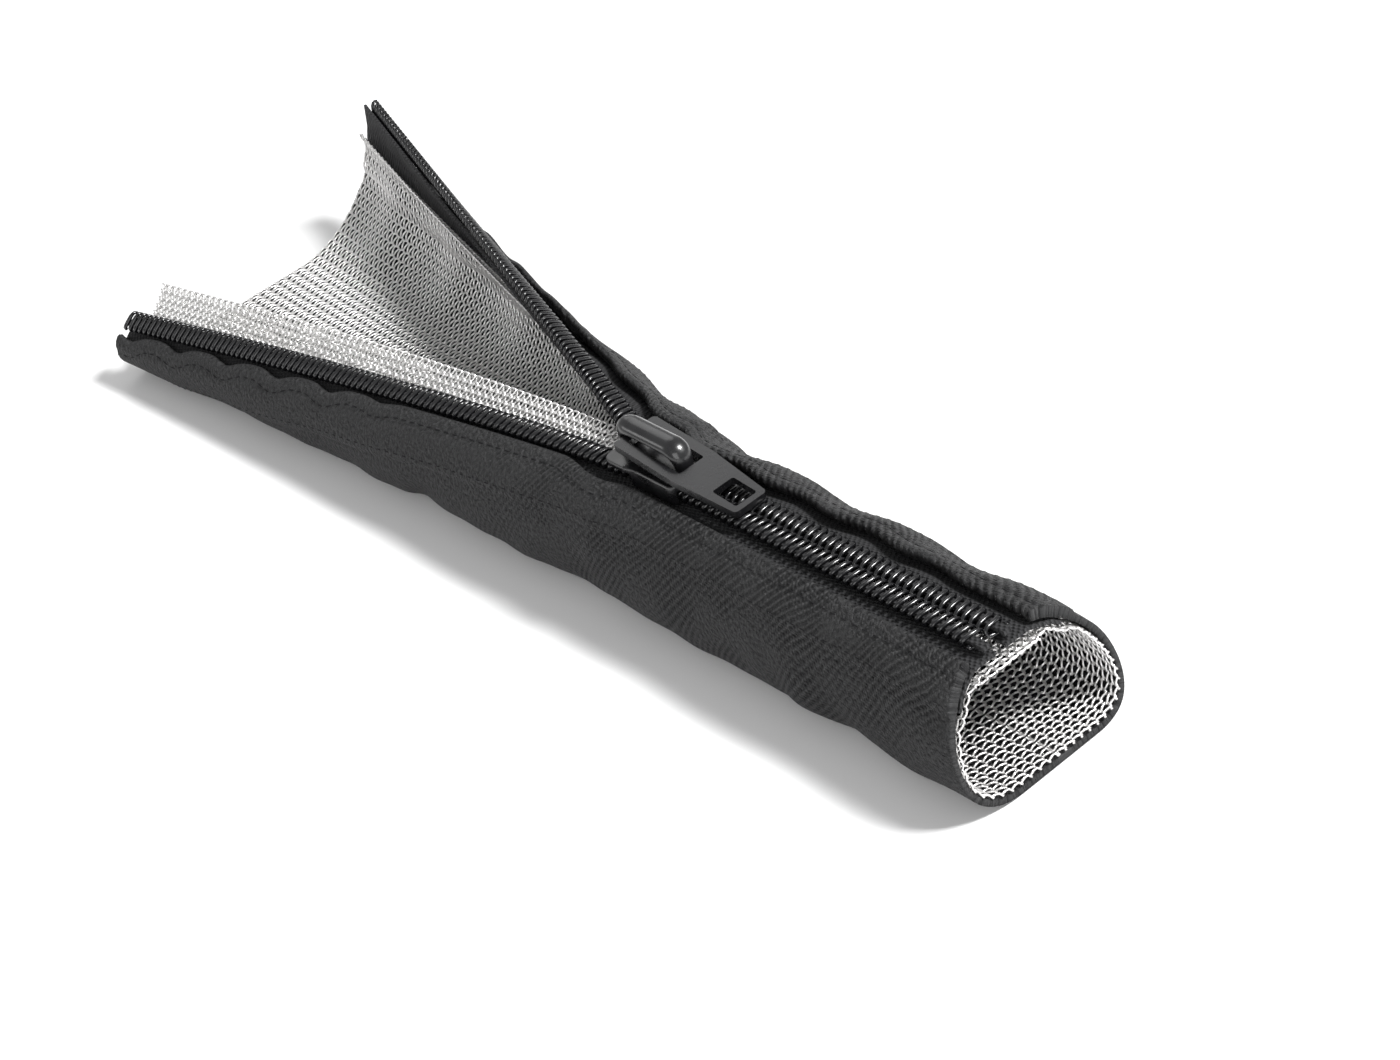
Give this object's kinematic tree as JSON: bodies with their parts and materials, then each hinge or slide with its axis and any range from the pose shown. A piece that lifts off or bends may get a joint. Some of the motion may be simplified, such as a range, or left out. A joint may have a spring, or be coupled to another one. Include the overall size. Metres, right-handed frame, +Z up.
{
  "type": "zippered cable sleeve",
  "caption": "Black textile cable sleeve lined with knitted wire mesh, closed along its top by a coil zipper, part zipped and part splayed open, lying flat.",
  "frame": {"origin": "on the flat underside that it rests on, below the zip line, at the middle of the sleeve's length", "axes": "+X along the sleeve towards its zipped end, +Y towards the side that falls wide open, +Z up"},
  "size_m": [0.204, 0.0615, 0.0276],
  "materials": {
    "coated_fabric": "matt ribbed coated cloth",
    "wire_mesh": "fine knitted tinned wire",
    "zip_tape": "matt woven tape",
    "coil_nylon": "smooth monofilament",
    "filler_cord": "matt braided cord",
    "black_enamel": "glossy black enamel"
  },
  "bodies": {
    "sleeve": {"jacket": "coated_fabric", "mesh_liner": "wire_mesh", "tape_near": "zip_tape", "tape_far": "zip_tape", "coil_near": "coil_nylon", "coil_far": "coil_nylon", "cord_near": "filler_cord", "cord_far": "filler_cord"},
    "slider": {"slider_body": "black_enamel"},
    "pull": {"pull_tab": "black_enamel"}
  },
  "joints": [
    {"name": "slider_travel", "type": "slide", "parent": "sleeve", "child": "slider", "axis": [1, 0, 0], "range_m": [0, 0.055], "deforming": ["coil_near", "coil_far"]},
    {"name": "pull_swing", "type": "hinge", "parent": "slider", "child": "pull", "pos_m": [0.02797, 0, 0.0251], "axis": [0, -1, 0], "range_deg": [0, 165]}
  ]
}
